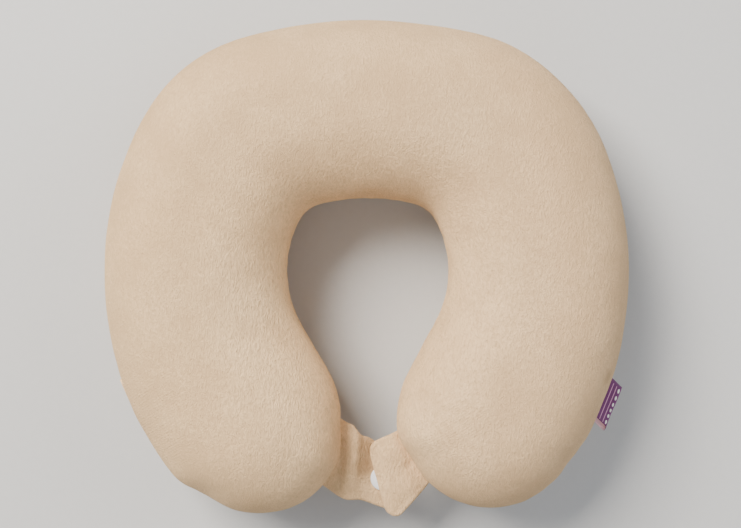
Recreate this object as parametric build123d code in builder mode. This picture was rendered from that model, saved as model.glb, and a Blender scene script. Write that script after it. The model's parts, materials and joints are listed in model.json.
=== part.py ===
from build123d import *
import os
from math import acos, atan2, cos, degrees, hypot, radians, sin, sqrt

# U shaped neck pillow: a foam core in a liner, in a zipped velour cover with two snap tabs.
# The pillow lies flat on z = 0. +X is its right arm, +Y its back, and the mouth faces -Y.

# ---- Pillow outline, seen from above (mm) ----
overall_width = 300.0
overall_length = 283.0
pillow_height = 95.0
arm_width = 108.0
mouth_gap = 30.0
hole_width = 93.0
hole_rise = 41.7
hole_side_radius = 62.0
hole_corner_radius = 16.0
hole_back_radius = 110.0
flank_length = 31.0
back_radius = 230.0
shoulder_radius = 110.0
widest_line = -3.7

# ---- Pillow section ----
side_band = 9.0
top_bias = 3.0
rounding_margin = 3.0

# ---- Layers, from the outside in ----
cover_thickness = 2.0
liner_gap = 1.0
liner_thickness = 0.8
foam_gap = 0.25
thread_thickness = 0.5
thread_height = 1.0

# ---- Zip, in the outer side seam of the left arm ----
zip_back_length = 58.6
zip_front_length = 89.6
tape_thickness = 0.6
tape_width = 12.0
tape_gap = 1.0
coil_height = 1.4
coil_width = 2.1
coil_rail = 0.9
tooth_pitch = 2.4
tooth_width = 0.9
tooth_reach = 0.6
slider_length = 9.0
slider_half_width = 3.6
slider_plate = 0.9
slider_lip = 1.1
slider_clearance = 0.2
bridge_length = 1.8
stop_length = 2.0
stop_clearance = 0.3
window_margin = 0.8
relief_clearance = 0.4

# ---- Zip pull ----
pull_length = 22.0
pull_width = 5.0
pull_thickness = 1.0
pull_corner = 1.5
neck_length = 3.0
pin_radius = 0.5
pin_clearance = 0.2
pin_lift = 0.8
lug_length = 3.0
lug_thickness = 1.0
lug_gap = 1.1

# ---- Snap tabs ----
tab_thickness = 4.4
tab_width = 39.0
left_tab_corner = 14.0
left_past_snap = 7.5
right_tab_corner = 5.0
right_past_snap = 3.9
right_tab_angle = 210.5
hinge_clearance = 0.3
hinge_wall = 0.6
sewn_thickness = 1.6
sewn_tail = 0.8

# ---- Snap ----
snap_distance = 12.6
socket_diameter = 14.5
socket_floor = 0.2
stud_diameter = 8.0
stud_height = 1.0
hub_diameter = 3.6
hub_height = 1.2
recess_clearance = 0.4
disc_clearance = 0.2
cap_diameter = 6.0
cap_thickness = 0.8
prong_diameter = 2.0

# ---- Side label, in the outer seam of the right arm ----
label_length = 26.0
label_reach = 7.0
label_layer = 0.6
label_space = 0.4
label_distance = 75.8
label_wall = 0.4
label_clearance = 0.2

# ---- Worked out from the sizes above ----
half_width = overall_width / 2
half_length = overall_length / 2
tip_radius = arm_width / 2
hole_half_width = hole_width / 2
tip_centre = (mouth_gap / 2 + tip_radius, -half_length + tip_radius)
tip_offset = (tip_centre[0] - half_width, tip_centre[1] - widest_line)
side_radius = (tip_radius**2 - tip_offset[0] ** 2 - tip_offset[1] ** 2) / (
    2 * (tip_offset[0] + tip_radius)
)
side_centre = (half_width - side_radius, widest_line)
back_centre = (0.0, half_length - back_radius)
hole_to_tip = hypot(tip_radius + hole_side_radius, flank_length)
hole_side_x = hole_half_width - hole_side_radius
hole_side_centre = (
    hole_side_x,
    tip_centre[1] + sqrt(hole_to_tip**2 - (tip_centre[0] - hole_side_x) ** 2),
)
hole_back = hole_side_centre[1] + hole_rise
hole_back_centre = (0.0, hole_back - hole_back_radius)
side_wall = half_width - hole_half_width
back_wall = half_length - hole_back
largest_rounding = min(arm_width, side_wall, back_wall) / 2 - rounding_margin
top_rounding = min((pillow_height - side_band) / 2 + top_bias, largest_rounding)
bottom_rounding = min((pillow_height - side_band) / 2 - top_bias, largest_rounding)
seam_height = (bottom_rounding + pillow_height - top_rounding) / 2
liner_inset = cover_thickness + liner_gap
foam_inset = liner_inset + liner_thickness + foam_gap
zip_centre = (-side_centre[0], side_centre[1])
tape_inset = cover_thickness + tape_thickness
tape_face = side_radius - cover_thickness
coil_face = tape_face + coil_height
zip_start_angle = -degrees(zip_back_length / side_radius)
zip_end_angle = degrees(zip_front_length / side_radius)
label_angle = -degrees(label_distance / side_radius)
recess_depth = hub_height + recess_clearance - disc_clearance
socket_height = recess_depth + socket_floor
tab_layer = tab_thickness / 2
tab_gap_half = (socket_height + stud_height + disc_clearance) / 2
tab_rise = tab_layer + tab_gap_half
sewn_depth = cover_thickness + sewn_tail
outer_plate_face = coil_face + slider_clearance
inner_plate_face = side_radius - tape_inset - slider_clearance


def heading(start, end):
    """Angle in degrees from one point to another."""
    return degrees(atan2(end[1] - start[1], end[0] - start[0]))


def polar(centre, radius, angle):
    """Point at a radius and an angle from a centre."""
    return (centre[0] + radius * cos(radians(angle)), centre[1] + radius * sin(radians(angle)))


def circle_meeting(first, first_radius, second, second_radius):
    """Right hand point where two circles meet: the centre of an arc that rounds a corner."""
    span = hypot(second[0] - first[0], second[1] - first[1])
    along = (first_radius**2 - second_radius**2 + span**2) / (2 * span)
    across = sqrt(first_radius**2 - along**2)
    turn = radians(heading(first, second))
    points = [
        (
            first[0] + along * cos(turn) - side * across * sin(turn),
            first[1] + along * sin(turn) + side * across * cos(turn),
        )
        for side in (1, -1)
    ]
    return max(points)


shoulder_centre = circle_meeting(
    back_centre, back_radius - shoulder_radius, side_centre, side_radius - shoulder_radius
)
hole_corner_centre = circle_meeting(
    hole_back_centre,
    hole_back_radius - hole_corner_radius,
    hole_side_centre,
    hole_side_radius - hole_corner_radius,
)
flank_turn = degrees(acos((tip_radius + hole_side_radius) / hole_to_tip))
flank_angle = heading(tip_centre, hole_side_centre) + flank_turn
hole_side_start = flank_angle - 180
hole_side_end = heading(hole_side_centre, hole_corner_centre)
hole_corner_end = heading(hole_back_centre, hole_corner_centre)
back_turn = heading(back_centre, shoulder_centre)
side_start = heading(side_centre, shoulder_centre)
side_end = heading(side_centre, tip_centre)


def pillow_form(inset):
    """Whole pillow, every face moved inward by the inset."""
    with BuildPart() as form:
        with BuildSketch(Plane.XY.offset(inset)):
            with BuildLine():
                CenterArc(back_centre, back_radius - inset, 90, back_turn - 90)
                CenterArc(
                    shoulder_centre, shoulder_radius - inset, back_turn, side_start - back_turn
                )
                CenterArc(side_centre, side_radius - inset, side_start, side_end - side_start)
                CenterArc(
                    tip_centre, tip_radius - inset, side_end, flank_angle - 360 - side_end
                )
                Line(
                    polar(tip_centre, tip_radius - inset, flank_angle),
                    polar(hole_side_centre, hole_side_radius + inset, hole_side_start),
                )
                CenterArc(
                    hole_side_centre,
                    hole_side_radius + inset,
                    hole_side_start,
                    hole_side_end - hole_side_start,
                )
                CenterArc(
                    hole_corner_centre,
                    hole_corner_radius + inset,
                    hole_side_end,
                    hole_corner_end - hole_side_end,
                )
                CenterArc(
                    hole_back_centre, hole_back_radius + inset, hole_corner_end, 90 - hole_corner_end
                )
                mirror(about=Plane.YZ)
            make_face()
        extrude(amount=pillow_height - 2 * inset)
        top_edges = form.faces().sort_by(Axis.Z)[-1].edges()
        fillet(top_edges, top_rounding - inset)
        bottom_edges = form.faces().sort_by(Axis.Z)[0].edges()
        fillet(bottom_edges, bottom_rounding - inset)
    return form.part


def zip_angle(angle):
    """Direction from the zip's centre, for an angle counted down the left arm."""
    return 180 + angle


def band_sector(low_radius, high_radius, low_z, high_z, start_angle, end_angle):
    """Curved bar about the zip's centre, heights counted from the seam."""
    first = zip_angle(start_angle)
    sweep_angle = end_angle - start_angle
    with BuildPart() as bar:
        with BuildSketch(Plane.XY.offset(seam_height + low_z)):
            with BuildLine():
                CenterArc(zip_centre, high_radius, first, sweep_angle)
                CenterArc(zip_centre, low_radius, first, sweep_angle)
                for angle in (first, first + sweep_angle):
                    Line(polar(zip_centre, low_radius, angle), polar(zip_centre, high_radius, angle))
            make_face()
        extrude(amount=high_z - low_z)
    return bar.part


def arc_angle(length):
    """Angle that a length takes along the zip."""
    return degrees(length / side_radius)


# ---- Places along the zip ----
slider_front = zip_end_angle - arc_angle(stop_length + stop_clearance)
slider_rear = slider_front - arc_angle(slider_length)
coil_start = zip_start_angle + arc_angle(stop_length)
coil_end = slider_front - arc_angle(bridge_length + slider_clearance)
slider_travel = slider_rear - coil_start - arc_angle(stop_clearance)
window_half = slider_half_width + window_margin
window_ends = (
    zip_start_angle - arc_angle(window_margin),
    zip_end_angle + arc_angle(window_margin),
)
pin_radial = outer_plate_face + slider_plate + pin_lift
pin_angle = zip_angle((slider_front + slider_rear) / 2)
pin_place = (*polar(zip_centre, pin_radial, pin_angle), seam_height)
pin_outward = (cos(radians(pin_angle)), sin(radians(pin_angle)), 0)
pin_backward = (sin(radians(pin_angle)), -cos(radians(pin_angle)), 0)
pin_plane = Plane(pin_place, x_dir=pin_backward, z_dir=(0, 0, 1))
pull_plane = Plane(pin_place, x_dir=pin_backward, z_dir=pin_outward)


def relieved_form(inset):
    """Pillow form with a hollow behind the zip for the slider's inner plate."""
    depth = inset - liner_inset
    floor = inner_plate_face - slider_plate - relief_clearance - depth
    half = slider_half_width + relief_clearance + depth
    margin = arc_angle(window_margin + depth)
    whole = pillow_form(inset)
    hollow = band_sector(
        floor, side_radius, -half, half, zip_start_angle - margin, zip_end_angle + margin
    )
    with BuildPart() as form:
        add(whole)
        add(hollow, mode=Mode.SUBTRACT)
    return form.part


# ---- Straps that hang on a hinge at the arm's surface ----
def strap_plane(centre, radius, angle, offset, height):
    """Plane at a hinge: x points away from the arm, z along the hinge, y up."""
    outward = (cos(radians(angle)), sin(radians(angle)), 0)
    along = (outward[1], -outward[0], 0)
    return Plane((*polar(centre, radius + offset, angle), height), x_dir=outward, z_dir=along)


def strap_layer(plane, width, reach, half_thickness, corner, side):
    """Upper (side 1) or lower (side -1) half of a flat strap with a rounded root."""
    with BuildPart() as layer:
        with BuildSketch(plane):
            with BuildLine():
                Line((-half_thickness, 0), (reach, 0))
                Line((reach, 0), (reach, side * half_thickness))
                Line((reach, side * half_thickness), (0, side * half_thickness))
                CenterArc((0, 0), half_thickness, 90 * side, 90 * side)
            make_face()
        extrude(amount=width / 2, both=True)
        fillet(layer.edges().filter_by(Axis.Z), corner)
    return layer.part


def sewn_end(plane, width, low_z, high_z, groove, axis_offset, arm):
    """Fixed end of a strap: hollowed for the rounded root, and passed through the seam."""
    depth = axis_offset + sewn_depth
    with BuildPart() as outside:
        with BuildSketch(plane):
            with Locations((-depth / 2, (low_z + high_z) / 2)):
                Rectangle(depth, high_z - low_z)
        extrude(amount=width / 2, both=True)
        add(arm, mode=Mode.SUBTRACT)
    with BuildPart() as end:
        add(outside.part)
        add(seam_slot(plane, width, axis_offset))
        with BuildSketch(plane):
            Circle(groove)
        extrude(amount=width, both=True, mode=Mode.SUBTRACT)
    return end.part


def seam_slot(plane, width, axis_offset):
    """Opening in the seam that a strap's fixed end fills."""
    level = Plane(
        (plane.origin.X, plane.origin.Y, seam_height), x_dir=plane.x_dir, z_dir=plane.z_dir
    )
    near = axis_offset + sewn_depth
    with BuildPart() as slot:
        with BuildSketch(level):
            with Locations((-near / 2, 0)):
                Rectangle(near, sewn_thickness)
        extrude(amount=width / 2, both=True)
    return slot.part


tab_offset = tab_layer + hinge_clearance + hinge_wall
tab_groove = tab_layer + hinge_clearance
left_tip = (-tip_centre[0], tip_centre[1])
right_plane = strap_plane(
    tip_centre, tip_radius, right_tab_angle, tab_offset, seam_height + tab_rise
)
right_tab_reach = snap_distance + right_past_snap
snap_place = right_plane.from_local_coords((snap_distance, 0, 0))
snap_from_tip = (snap_place.X - left_tip[0], snap_place.Y - left_tip[1])
left_tab_angle = degrees(atan2(snap_from_tip[1], snap_from_tip[0]))
left_tab_reach = hypot(*snap_from_tip) - tip_radius - tab_offset + left_past_snap
left_plane = strap_plane(left_tip, tip_radius, left_tab_angle, tab_offset, seam_height - tab_rise)
label_half = label_layer + label_space / 2
label_groove = label_half + label_clearance
label_offset = label_groove + label_wall
label_plane = strap_plane(side_centre, side_radius, label_angle, label_offset, seam_height)

# ---- Forms that several pieces share ----
outer_form = pillow_form(0)
cover_lining_form = pillow_form(cover_thickness)
zip_window = band_sector(
    side_radius - 2 * cover_thickness,
    side_radius + cover_thickness,
    -window_half,
    window_half,
    *window_ends,
)
left_slot = seam_slot(left_plane, tab_width, tab_offset)
right_slot = seam_slot(right_plane, tab_width, tab_offset)
label_slot = seam_slot(label_plane, label_length, label_offset)

# ---- Foam core ----
with BuildPart() as foam_core:
    add(relieved_form(foam_inset))

# ---- Liner: a thin bag around the core, in two panels ----
liner_outside = relieved_form(liner_inset)
liner_inside = relieved_form(liner_inset + liner_thickness)
seam_plane = Plane.XY.offset(seam_height)

with BuildPart() as liner_top_panel:
    add(liner_outside)
    add(liner_inside, mode=Mode.SUBTRACT)
    split(bisect_by=seam_plane, keep=Keep.TOP)

with BuildPart() as liner_bottom_panel:
    add(liner_outside)
    add(liner_inside, mode=Mode.SUBTRACT)
    split(bisect_by=seam_plane, keep=Keep.BOTTOM)

# ---- Cover: two velour panels, open at the zip and where straps pass the seam ----
with BuildPart() as cover_shell:
    add(outer_form)
    add(cover_lining_form, mode=Mode.SUBTRACT)
    for opening in (zip_window, left_slot, right_slot, label_slot):
        add(opening, mode=Mode.SUBTRACT)

with BuildPart() as cover_top_panel:
    add(cover_shell.part)
    split(bisect_by=seam_plane, keep=Keep.TOP)

with BuildPart() as cover_bottom_panel:
    add(cover_shell.part)
    split(bisect_by=seam_plane, keep=Keep.BOTTOM)

# ---- Thread that joins the panels inside the seam, from one end of the zip to the other ----
with BuildPart() as panel_seam_stitches:
    add(cover_lining_form)
    add(pillow_form(cover_thickness + thread_thickness), mode=Mode.SUBTRACT)
    with BuildSketch(Plane.XY.offset(seam_height - thread_height / 2)):
        Rectangle(2 * overall_width, 2 * overall_length)
    extrude(amount=thread_height, mode=Mode.INTERSECT)
    for opening in (zip_window, left_slot, right_slot, label_slot):
        add(opening, mode=Mode.SUBTRACT)

# ---- Zip tapes, sewn to the inside of each panel ----
with BuildPart() as tape_sheet:
    add(cover_lining_form)
    add(pillow_form(tape_inset), mode=Mode.SUBTRACT)


def tape_strip(side):
    """Band that a tape covers, above (side 1) or below (side -1) the seam."""
    low_z, high_z = sorted((side * tape_gap, side * (tape_gap + tape_width)))
    return band_sector(side_radius - tip_radius, side_radius, low_z, high_z, *window_ends)


with BuildPart() as zipper_tape_upper:
    add(tape_sheet.part)
    add(tape_strip(1), mode=Mode.INTERSECT)

with BuildPart() as zipper_tape_lower:
    add(tape_sheet.part)
    add(tape_strip(-1), mode=Mode.INTERSECT)


# ---- Coil halves: a rail on each tape, with teeth that mesh along the seam ----
def coil_half(side):
    """Rail and teeth of one coil, above (side 1) or below (side -1) the seam."""
    rail_low, rail_high = sorted((side * (coil_width - coil_rail), side * coil_width))
    tooth_low, tooth_high = sorted((-side * tooth_reach, side * (coil_width - coil_rail)))
    first = coil_start + arc_angle(tooth_pitch * (1 + side / 4))
    count = int((coil_end - coil_start) / arc_angle(tooth_pitch)) - 1
    rail = band_sector(tape_face, coil_face, rail_low, rail_high, coil_start, coil_end)
    with BuildPart() as coil:
        add(rail)
        with BuildSketch(Plane.XY.offset(seam_height + tooth_low)):
            with Locations(zip_centre):
                with PolarLocations(
                    (tape_face + coil_face) / 2,
                    count,
                    zip_angle(first),
                    arc_angle(tooth_pitch) * count,
                ):
                    Rectangle(coil_height, tooth_width)
        extrude(amount=tooth_high - tooth_low)
    return coil.part


with BuildPart() as zipper_coil_upper:
    add(coil_half(1))

with BuildPart() as zipper_coil_lower:
    add(coil_half(-1))

# ---- Stops at the two ends of the zip ----
with BuildPart() as zipper_top_stops:
    for low_z, high_z in ((coil_width - coil_rail, coil_width), (-coil_width, coil_rail - coil_width)):
        add(
            band_sector(
                tape_face,
                coil_face,
                low_z,
                high_z,
                zip_end_angle - arc_angle(stop_length),
                zip_end_angle,
            )
        )

with BuildPart() as zipper_bottom_stop:
    add(band_sector(tape_face, coil_face, -coil_width, coil_width, zip_start_angle, coil_start))

# ---- Slider: two plates joined by a bridge, with lips over the coil and lugs for the pull ----
bridge_rear = slider_front - arc_angle(bridge_length)
outer_plate_top = outer_plate_face + slider_plate
lip_floor = tape_face + slider_clearance
lip_low = slider_half_width - slider_lip
bridge_half = tape_gap - slider_clearance
lug_outside = lug_gap + lug_thickness
lug_height = pin_lift + pin_radius + pin_clearance + lug_thickness / 2
with BuildPart() as zipper_slider:
    for low_radius, high_radius in (
        (outer_plate_face, outer_plate_top),
        (inner_plate_face - slider_plate, inner_plate_face),
    ):
        add(
            band_sector(
                low_radius,
                high_radius,
                -slider_half_width,
                slider_half_width,
                slider_rear,
                slider_front,
            )
        )
    for low_z, high_z in ((lip_low, slider_half_width), (-slider_half_width, -lip_low)):
        add(band_sector(lip_floor, outer_plate_top, low_z, high_z, slider_rear, slider_front))
    add(
        band_sector(
            inner_plate_face, outer_plate_face, -bridge_half, bridge_half, bridge_rear, slider_front
        )
    )
    with BuildSketch(pin_plane.offset(lug_gap)):
        with Locations((0, lug_height / 2 - pin_lift - slider_plate / 2)):
            Rectangle(lug_length, lug_height)
    extrude(amount=lug_thickness)
    with BuildSketch(pin_plane.offset(-lug_outside)):
        with Locations((0, lug_height / 2 - pin_lift - slider_plate / 2)):
            Rectangle(lug_length, lug_height)
    extrude(amount=lug_thickness)
    with BuildSketch(pin_plane):
        Circle(pin_radius + pin_clearance)
    extrude(amount=slider_half_width, both=True, mode=Mode.SUBTRACT)

# ---- Pull: a pin in the lugs, a neck between them and a flat plate ----
plate_length = pull_length - neck_length
with BuildPart() as zipper_pull:
    with BuildSketch(pin_plane):
        Circle(pin_radius)
    extrude(amount=lug_outside, both=True)
    with BuildSketch(pull_plane):
        with Locations((neck_length / 2, 0)):
            Rectangle(neck_length, 2 * (lug_gap - slider_clearance))
        with Locations((neck_length - pin_radius + plate_length / 2, 0)):
            RectangleRounded(plate_length, pull_width, pull_corner)
    extrude(amount=pull_thickness / 2, both=True)


# ---- Snap tabs: each a face and a lining sewn together, with the snap's cap between them ----
def snap_cylinder(diameter, low_z, high_z):
    """Upright cylinder on the snap's axis, heights counted from the seam."""
    with BuildPart() as post:
        with BuildSketch(Plane.XY.offset(seam_height + low_z)):
            with Locations((snap_place.X, snap_place.Y)):
                Circle(diameter / 2)
        extrude(amount=high_z - low_z)
    return post.part


cap_half = cap_thickness / 2
left_cap = snap_cylinder(cap_diameter, -tab_rise - cap_half, -tab_rise + cap_half)
left_prong = snap_cylinder(prong_diameter, -tab_rise + cap_half, -tab_gap_half)
right_cap = snap_cylinder(cap_diameter, tab_rise - cap_half, tab_rise + cap_half)
right_prong = snap_cylinder(prong_diameter, tab_gap_half, tab_rise - cap_half)


def left_tab_layer(side):
    """Layer of the left tab, on its upper (1) or lower (-1) side."""
    return strap_layer(left_plane, tab_width, left_tab_reach, tab_layer, left_tab_corner, side)


def right_tab_layer(side):
    """Layer of the right tab, on its upper (1) or lower (-1) side."""
    return strap_layer(right_plane, tab_width, right_tab_reach, tab_layer, right_tab_corner, side)


with BuildPart() as left_tab_face:
    add(left_tab_layer(1))
    add(left_cap, mode=Mode.SUBTRACT)
    add(left_prong, mode=Mode.SUBTRACT)

with BuildPart() as left_tab_lining:
    add(left_tab_layer(-1))
    add(left_cap, mode=Mode.SUBTRACT)

with BuildPart() as right_tab_face:
    add(right_tab_layer(1))
    add(right_cap, mode=Mode.SUBTRACT)

with BuildPart() as right_tab_lining:
    add(right_tab_layer(-1))
    add(right_cap, mode=Mode.SUBTRACT)
    add(right_prong, mode=Mode.SUBTRACT)

fixed_height = tab_rise + sewn_thickness / 2
with BuildPart() as left_tab_sewn_end:
    add(sewn_end(left_plane, tab_width, 0, fixed_height, tab_groove, tab_offset, outer_form))

with BuildPart() as right_tab_sewn_end:
    add(sewn_end(right_plane, tab_width, -fixed_height, 0, tab_groove, tab_offset, outer_form))

# ---- Snap: the socket on the left tab, the stud on the right tab, each held by a cap ----
with BuildPart() as snap_socket:
    add(snap_cylinder(socket_diameter, -tab_gap_half, socket_height - tab_gap_half))
    add(
        snap_cylinder(
            hub_diameter + 2 * recess_clearance,
            socket_height - tab_gap_half - recess_depth,
            socket_height - tab_gap_half,
        ),
        mode=Mode.SUBTRACT,
    )

with BuildPart() as snap_stud:
    add(snap_cylinder(stud_diameter, tab_gap_half - stud_height, tab_gap_half))
    add(
        snap_cylinder(
            hub_diameter, tab_gap_half - stud_height - hub_height, tab_gap_half - stud_height
        )
    )

with BuildPart() as snap_socket_cap:
    add(left_cap)
    add(left_prong)

with BuildPart() as snap_stud_cap:
    add(right_cap)
    add(right_prong)

# ---- Side label: a ribbon folded over at its outer edge ----
with BuildPart() as side_label:
    with BuildSketch(label_plane):
        with Locations((label_reach / 2, 0)):
            Rectangle(label_reach, 2 * label_half)
        Circle(label_half)
        with Locations((label_reach / 2, 0)):
            Rectangle(label_reach - 2 * label_layer, label_space, mode=Mode.SUBTRACT)
    extrude(amount=label_length / 2, both=True)

with BuildPart() as label_sewn_end:
    add(
        sewn_end(
            label_plane,
            label_length,
            -sewn_thickness / 2,
            sewn_thickness / 2,
            label_groove,
            label_offset,
            outer_form,
        )
    )

# ---- Every piece, under the name of its node ----
pieces = {
    "foam_core": foam_core,
    "liner_top_panel": liner_top_panel,
    "liner_bottom_panel": liner_bottom_panel,
    "cover_top_panel": cover_top_panel,
    "cover_bottom_panel": cover_bottom_panel,
    "panel_seam_stitches": panel_seam_stitches,
    "zipper_tape_upper": zipper_tape_upper,
    "zipper_tape_lower": zipper_tape_lower,
    "zipper_coil_upper": zipper_coil_upper,
    "zipper_coil_lower": zipper_coil_lower,
    "zipper_top_stops": zipper_top_stops,
    "zipper_bottom_stop": zipper_bottom_stop,
    "zipper_slider": zipper_slider,
    "zipper_pull": zipper_pull,
    "left_tab_face": left_tab_face,
    "left_tab_lining": left_tab_lining,
    "left_tab_sewn_end": left_tab_sewn_end,
    "right_tab_face": right_tab_face,
    "right_tab_lining": right_tab_lining,
    "right_tab_sewn_end": right_tab_sewn_end,
    "snap_socket": snap_socket,
    "snap_socket_cap": snap_socket_cap,
    "snap_stud": snap_stud,
    "snap_stud_cap": snap_stud_cap,
    "side_label": side_label,
    "label_sewn_end": label_sewn_end,
}

os.makedirs("parts", exist_ok=True)
for name, piece in pieces.items():
    piece.part.label = name
    export_step(piece.part, f"parts/{name}.step")
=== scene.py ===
import json
from math import atan2, cos, exp, hypot, pi, radians, sin

import bmesh
import bpy
from bpy.props import FloatProperty, FloatVectorProperty, PointerProperty
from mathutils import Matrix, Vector, noise


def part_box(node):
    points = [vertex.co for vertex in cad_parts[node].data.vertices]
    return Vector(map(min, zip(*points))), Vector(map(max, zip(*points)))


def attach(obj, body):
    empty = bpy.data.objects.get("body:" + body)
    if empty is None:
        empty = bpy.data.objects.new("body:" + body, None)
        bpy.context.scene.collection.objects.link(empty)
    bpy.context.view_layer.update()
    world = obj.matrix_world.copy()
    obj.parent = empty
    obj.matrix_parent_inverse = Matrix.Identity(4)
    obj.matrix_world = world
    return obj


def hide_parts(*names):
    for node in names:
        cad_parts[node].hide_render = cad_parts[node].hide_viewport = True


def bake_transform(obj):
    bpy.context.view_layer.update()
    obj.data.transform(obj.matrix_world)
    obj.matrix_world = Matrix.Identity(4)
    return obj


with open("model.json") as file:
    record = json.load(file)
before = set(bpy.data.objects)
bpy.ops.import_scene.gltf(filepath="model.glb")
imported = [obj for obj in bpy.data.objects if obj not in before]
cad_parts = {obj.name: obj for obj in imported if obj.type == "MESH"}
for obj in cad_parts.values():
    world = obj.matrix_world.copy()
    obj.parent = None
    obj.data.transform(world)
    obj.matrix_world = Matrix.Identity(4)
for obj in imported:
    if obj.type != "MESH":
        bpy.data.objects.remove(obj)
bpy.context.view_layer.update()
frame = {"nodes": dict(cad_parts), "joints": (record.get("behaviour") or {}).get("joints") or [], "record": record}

bl_info = {
    "name": "Neck Pillow",
    "version": (1, 0, 0),
    "blender": (4, 5, 0),
    "location": "View3D > Sidebar > Neck Pillow",
    "description": "Velour neck pillow with snap tabs, a zip and a side label",
    "category": "Add Mesh",
}

# ---- Places that come from the frame ----
JOINTS = {joint["name"]: joint for joint in frame["joints"]}
UP = Vector((0, 0, 1))
SEAM_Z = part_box("cover_bottom_panel")[1].z
HALF_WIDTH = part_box("cover_top_panel")[1].x
COVER_OFFSET = HALF_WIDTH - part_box("foam_core")[1].x
ZIP_CENTRE = Vector(JOINTS["zip_travel"]["pos_m"])
SIDE_RADIUS = HALF_WIDTH + ZIP_CENTRE.x
ZIP_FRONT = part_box("zipper_top_stops")[0].y + 0.0006
ZIP_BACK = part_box("zipper_bottom_stop")[1].y - 0.0004

# Notches where the side seam puckers: place in plan, depth and width.
PUCKERS = (
    (-0.137, -0.075, 0.0009, 0.0045),
    (-0.121, -0.110, 0.0013, 0.0045),
    (-0.115, -0.117, 0.0010, 0.0045),
    (-0.102, -0.131, 0.0014, 0.0045),
    (0.1355, -0.077, 0.0018, 0.0130),
    (0.123, -0.104, 0.0011, 0.0045),
    (0.116, -0.114, 0.0010, 0.0045),
    (0.104, -0.126, 0.0013, 0.0045),
    (0.097, -0.132, 0.0010, 0.0045),
)
# Where the outline is fuller or dented: place in plan, depth and width.
FULL_LEFT = (-0.098, 0.118, 0.0025, 0.055)
FULL_RIGHT = (0.080, 0.125, 0.0013, 0.040)
INNER_BULGE = (0.018, -0.072, 0.0016, 0.030)
TIP_DENT = (-0.092, -0.131, 0.0045, 0.016)
# Middle of the right arm's round tip, in plan; the left one mirrors it.
TIP_X, TIP_Y = 0.069, -0.0875

# How much of the frame's gap between core and cover the push takes up, and the slack in it.
COVER_FILL = 0.9
SLACK_DEPTH, SLACK_SCALE = 0.0004, 28
# How high the seam's groove, its fine waves and its puckers reach, and how deep the waves are.
GROOVE_HEIGHT, WAVE_HEIGHT, PUCKER_HEIGHT, WAVE_DEPTH = 0.0016, 0.008, 0.016, 0.0008
# Width of the outer band that the zip lies in, and the seam's share that is left beside it.
ZIP_BAND, ZIP_SEAM_SHARE = 0.02, 0.15
# Cuts above and below the seam, so that its groove has points to move.
SEAM_CUTS = (-0.0022, -0.0008, 0.0, 0.0008, 0.0022)
# Steps in which the cut edges at the zip roll in.
ROLLED_EDGE = (0.0008, 0.0012)
WELD = 1e-6

# The left tab's fold: a place on its crest, the crest's lean and the heights around it.
CREST_X, CREST_Y, CREST_LEAN = -0.0059, -0.108, 0.065
RIDGE_BASE, RIDGE_CLIMB, RIDGE_DROP = 0.0026, 0.0020, 0.0023
# Its pinch near the arm and its hanging lower edge: place, depth and width.
PINCH_X, PINCH_DEPTH, PINCH_WIDTH = -0.016, 0.0006, 0.0016
HANG_X, HANG_DEPTH, HANG_WIDTH = -0.0150, 0.0046, 0.0085
# The right tab's crease: its place in plan, depth, width and length.
CREASE_X, CREASE_Y = 0.0235, -0.1148
CREASE_DEPTH, CREASE_WIDTH, CREASE_LENGTH = 0.0009, 0.0022, 0.0045
# The soft ring around the crease: height, radius and width.
RING_HEIGHT, RING_RADIUS, RING_WIDTH = 0.0006, 0.012, 0.007
# Unevenness of both tabs, how finely they are cut and how far they blend into the arms.
TAB_RAGGED, TAB_RAGGED_SCALE, TAB_CUTS, TAB_BLEND = 0.0003, 110, 39, 0.004

SPIN_STEPS = 48

# The label: half gap between its layers, length sewn under the cover, how far the upper layer
# is cut back at the pink end, slant of the loop, shift along the seam and cloth thickness.
LABEL_SPREAD, LABEL_ROOT, LABEL_CUT_BACK = 0.0006, 0.0020, 0.0028
LABEL_SLANT, LABEL_SHIFT, LABEL_CLOTH = 0.0026, 0.0007, 0.0004
# Its pattern, as shares across it: pale lines, their half width and the row of dots.
LINE_PLACES, LINE_HALF, DOT_PLACE, DOT_COUNT = (0.23, 0.60), 0.035, 0.91, 6.25

# Lamps: name, place, size, power and tone. All of them face LIGHT_TARGET.
LIGHT_TARGET = (0, 0, 0.03)
LIGHTS = (
    ("key", (-0.85, 0.85, 1.45), 0.9, 90, (1.0, 0.92, 0.82)),
    ("front", (-0.1, -1.1, 1.1), 1.0, 6, (1.0, 0.97, 0.93)),
    ("fill", (1.3, 0.4, 0.9), 1.2, 11, (0.94, 0.97, 1.0)),
)


def hinge_frame(name):
    """Hinge point, outward direction and hinge direction of a strap's joint."""
    along = Vector(JOINTS[name]["axis"])
    return Vector(JOINTS[name]["pos_m"]), UP.cross(along), along


# ---- Small mesh helpers ----
def smoothstep(low, high, value):
    """Smooth rise from 0 at low to 1 at high."""
    share = min(max((value - low) / (high - low), 0.0), 1.0)
    return share * share * (3 - 2 * share)


def bell(distance, width):
    """Smooth bump, 1 at distance 0 and near 0 past twice the width."""
    return exp(-((distance / width) ** 2))


def swelling(point, spot):
    """Height that a round swelling has at a point."""
    x, y, depth, width = spot
    return depth * bell(hypot(point.x - x, point.y - y), width)


def new_object(name, mesh):
    """Object at the origin with that mesh, linked to the scene."""
    piece = bpy.data.objects.new(name, mesh)
    bpy.context.scene.collection.objects.link(piece)
    return piece


def mesh_from(bm, name):
    """Mesh with smooth faces from a bmesh, which is freed."""
    for face in bm.faces:
        face.smooth = True
    mesh = bpy.data.meshes.new(name)
    bm.to_mesh(mesh)
    bm.free()
    return mesh


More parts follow.
